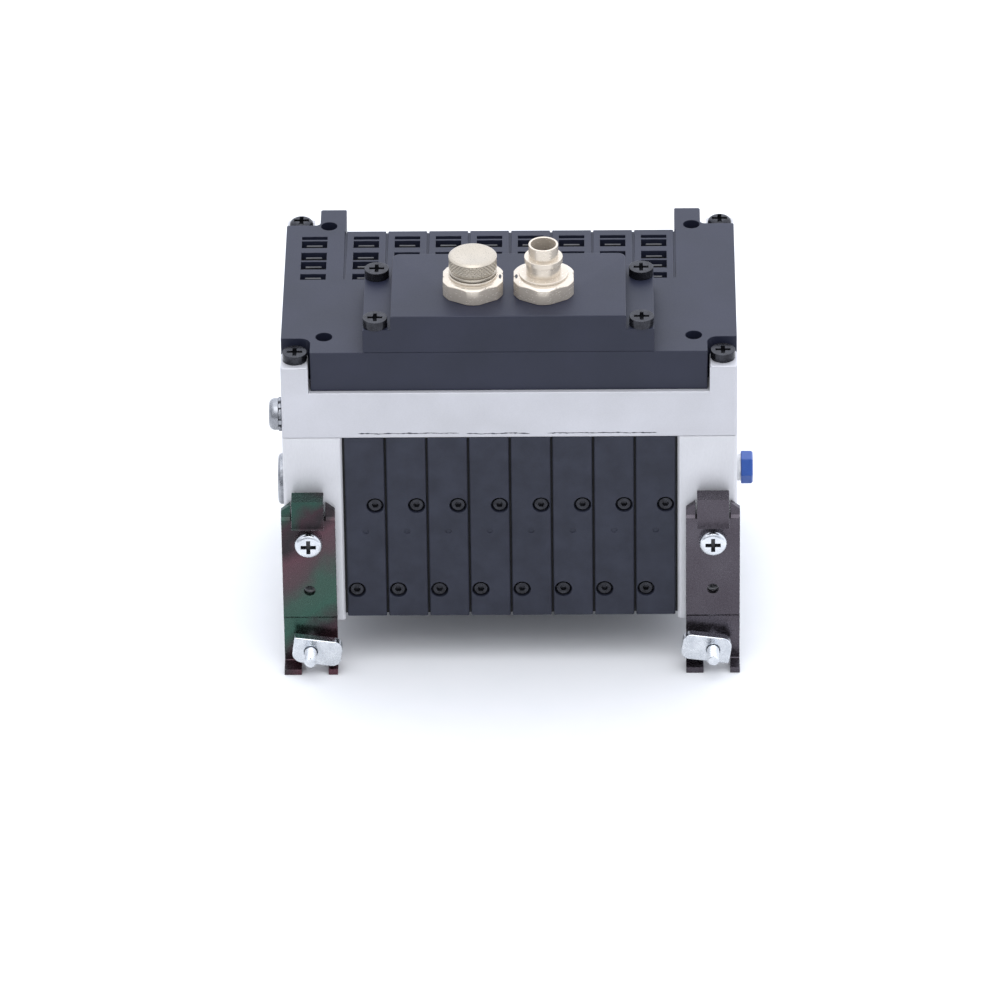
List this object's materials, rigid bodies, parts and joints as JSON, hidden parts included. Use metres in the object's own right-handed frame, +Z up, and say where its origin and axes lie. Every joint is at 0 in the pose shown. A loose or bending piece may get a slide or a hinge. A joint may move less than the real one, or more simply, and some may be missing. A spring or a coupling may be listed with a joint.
{
  "type": "pneumatic valve island",
  "caption": "Rail-mounted pneumatic valve terminal: valve slices between aluminium end plates, cast yoke, black electronics cover, round connectors and rail brackets.",
  "frame": {"origin": "rail seat: front faces of the brackets, half way up the 35 mm rail, in the middle of the row of slices", "axes": "+X along the rail and the row of slices, +Y from the rail into the body, +Z up towards the connectors"},
  "size_m": [0.1166, 0.0824, 0.1091],
  "materials": {
    "cast_aluminium": "bead-blasted casting",
    "plate_aluminium": "fine satin",
    "cover_plastic": "moulded, fine texture",
    "slice_plastic": "moulded",
    "guide_plastic": "smoked",
    "board_laminate": "laminate",
    "gasket_rubber": "matt",
    "black_screw_steel": "black zinc",
    "zinc_steel": "bright zinc",
    "plug_steel": "zinc plated",
    "seal_plastic": "smooth",
    "blue_plastic": "moulded",
    "solenoid_plastic": "moulded",
    "nickel_brass": "nickel plated, satin",
    "insert_plastic": "moulded",
    "chromated_steel": "black chromate",
    "spool_aluminium": "ground",
    "button_plastic": "moulded"
  },
  "bodies": {
    "island_body": {"blue_plug": "blue_plastic", "bracket_screws": "zinc_steel", "circuit_board": "board_laminate", "clamp_screws": "zinc_steel", "connector_body_left": "nickel_brass", "connector_body_right": "nickel_brass", "connector_housing": "cover_plastic", "connector_nut_left": "nickel_brass", "connector_nut_right": "nickel_brass", "contact_insert_left": "insert_plastic", "contact_insert_right": "insert_plastic", "corner_screws": "black_screw_steel", "earth_screw": "zinc_steel", "electronics_cover": "cover_plastic", "housing_screws": "black_screw_steel", "left_end_plate": "plate_aluminium", "light_guides": "guide_plastic", "lock_washer": "zinc_steel", "pilot_solenoids": "solenoid_plastic", "port_plug": "plug_steel", "rail_bracket_left": "chromated_steel", "rail_bracket_right": "chromated_steel", "right_end_plate": "plate_aluminium", "seal_ring": "seal_plastic", "slice_gaskets": "gasket_rubber", "slice_screws": "black_screw_steel", "tie_nuts": "zinc_steel", "tie_rods": "zinc_steel", "valve_slice_1": "slice_plastic", "valve_slice_2": "slice_plastic", "valve_slice_3": "slice_plastic", "valve_slice_4": "slice_plastic", "valve_slice_5": "slice_plastic", "valve_slice_6": "slice_plastic", "valve_slice_7": "slice_plastic", "valve_slice_8": "slice_plastic", "yoke": "cast_aluminium"},
    "spool_1_body": {"spool_1": "spool_aluminium"},
    "spool_2_body": {"spool_2": "spool_aluminium"},
    "spool_3_body": {"spool_3": "spool_aluminium"},
    "spool_4_body": {"spool_4": "spool_aluminium"},
    "spool_5_body": {"spool_5": "spool_aluminium"},
    "spool_6_body": {"spool_6": "spool_aluminium"},
    "spool_7_body": {"spool_7": "spool_aluminium"},
    "spool_8_body": {"spool_8": "spool_aluminium"},
    "override_button_1_body": {"override_button_1": "button_plastic"},
    "override_button_2_body": {"override_button_2": "button_plastic"},
    "override_button_3_body": {"override_button_3": "button_plastic"},
    "override_button_4_body": {"override_button_4": "button_plastic"},
    "override_button_5_body": {"override_button_5": "button_plastic"},
    "override_button_6_body": {"override_button_6": "button_plastic"},
    "override_button_7_body": {"override_button_7": "button_plastic"},
    "override_button_8_body": {"override_button_8": "button_plastic"},
    "clamp_plate_left_body": {"clamp_plate_left": "zinc_steel"},
    "clamp_plate_right_body": {"clamp_plate_right": "zinc_steel"},
    "dust_cap_body": {"dust_cap": "nickel_brass"}
  },
  "joints": [
    {"name": "spool_shift_1", "type": "slide", "parent": "island_body", "child": "spool_1_body", "axis": [0, 0, 1], "range_m": [0, 0.0024]},
    {"name": "spool_shift_2", "type": "slide", "parent": "island_body", "child": "spool_2_body", "axis": [0, 0, 1], "range_m": [0, 0.0024]},
    {"name": "spool_shift_3", "type": "slide", "parent": "island_body", "child": "spool_3_body", "axis": [0, 0, 1], "range_m": [0, 0.0024]},
    {"name": "spool_shift_4", "type": "slide", "parent": "island_body", "child": "spool_4_body", "axis": [0, 0, 1], "range_m": [0, 0.0024]},
    {"name": "spool_shift_5", "type": "slide", "parent": "island_body", "child": "spool_5_body", "axis": [0, 0, 1], "range_m": [0, 0.0024]},
    {"name": "spool_shift_6", "type": "slide", "parent": "island_body", "child": "spool_6_body", "axis": [0, 0, 1], "range_m": [0, 0.0024]},
    {"name": "spool_shift_7", "type": "slide", "parent": "island_body", "child": "spool_7_body", "axis": [0, 0, 1], "range_m": [0, 0.0024]},
    {"name": "spool_shift_8", "type": "slide", "parent": "island_body", "child": "spool_8_body", "axis": [0, 0, 1], "range_m": [0, 0.0024]},
    {"name": "override_press_1", "type": "slide", "parent": "island_body", "child": "override_button_1_body", "axis": [0, -1, 0], "range_m": [0, 0.0015], "stiffness_N_per_m": 400, "springref_m": -0.0005},
    {"name": "override_press_2", "type": "slide", "parent": "island_body", "child": "override_button_2_body", "axis": [0, -1, 0], "range_m": [0, 0.0015], "stiffness_N_per_m": 400, "springref_m": -0.0005},
    {"name": "override_press_3", "type": "slide", "parent": "island_body", "child": "override_button_3_body", "axis": [0, -1, 0], "range_m": [0, 0.0015], "stiffness_N_per_m": 400, "springref_m": -0.0005},
    {"name": "override_press_4", "type": "slide", "parent": "island_body", "child": "override_button_4_body", "axis": [0, -1, 0], "range_m": [0, 0.0015], "stiffness_N_per_m": 400, "springref_m": -0.0005},
    {"name": "override_press_5", "type": "slide", "parent": "island_body", "child": "override_button_5_body", "axis": [0, -1, 0], "range_m": [0, 0.0015], "stiffness_N_per_m": 400, "springref_m": -0.0005},
    {"name": "override_press_6", "type": "slide", "parent": "island_body", "child": "override_button_6_body", "axis": [0, -1, 0], "range_m": [0, 0.0015], "stiffness_N_per_m": 400, "springref_m": -0.0005},
    {"name": "override_press_7", "type": "slide", "parent": "island_body", "child": "override_button_7_body", "axis": [0, -1, 0], "range_m": [0, 0.0015], "stiffness_N_per_m": 400, "springref_m": -0.0005},
    {"name": "override_press_8", "type": "slide", "parent": "island_body", "child": "override_button_8_body", "axis": [0, -1, 0], "range_m": [0, 0.0015], "stiffness_N_per_m": 400, "springref_m": -0.0005},
    {"name": "clamp_turn_left", "type": "hinge", "parent": "island_body", "child": "clamp_plate_left_body", "pos_m": [-0.0488, -0.002, -0.0233], "axis": [0, -1, 0], "range_deg": [0, 98]},
    {"name": "clamp_turn_right", "type": "hinge", "parent": "island_body", "child": "clamp_plate_right_body", "pos_m": [0.0488, -0.002, -0.0233], "axis": [0, 1, 0], "range_deg": [-8, 82]},
    {"name": "dust_cap_turn", "type": "hinge", "parent": "island_body", "child": "dust_cap_body", "pos_m": [-0.00845, 0.0161, 0.075], "axis": [0, 0, 1], "continuous": true}
  ]
}
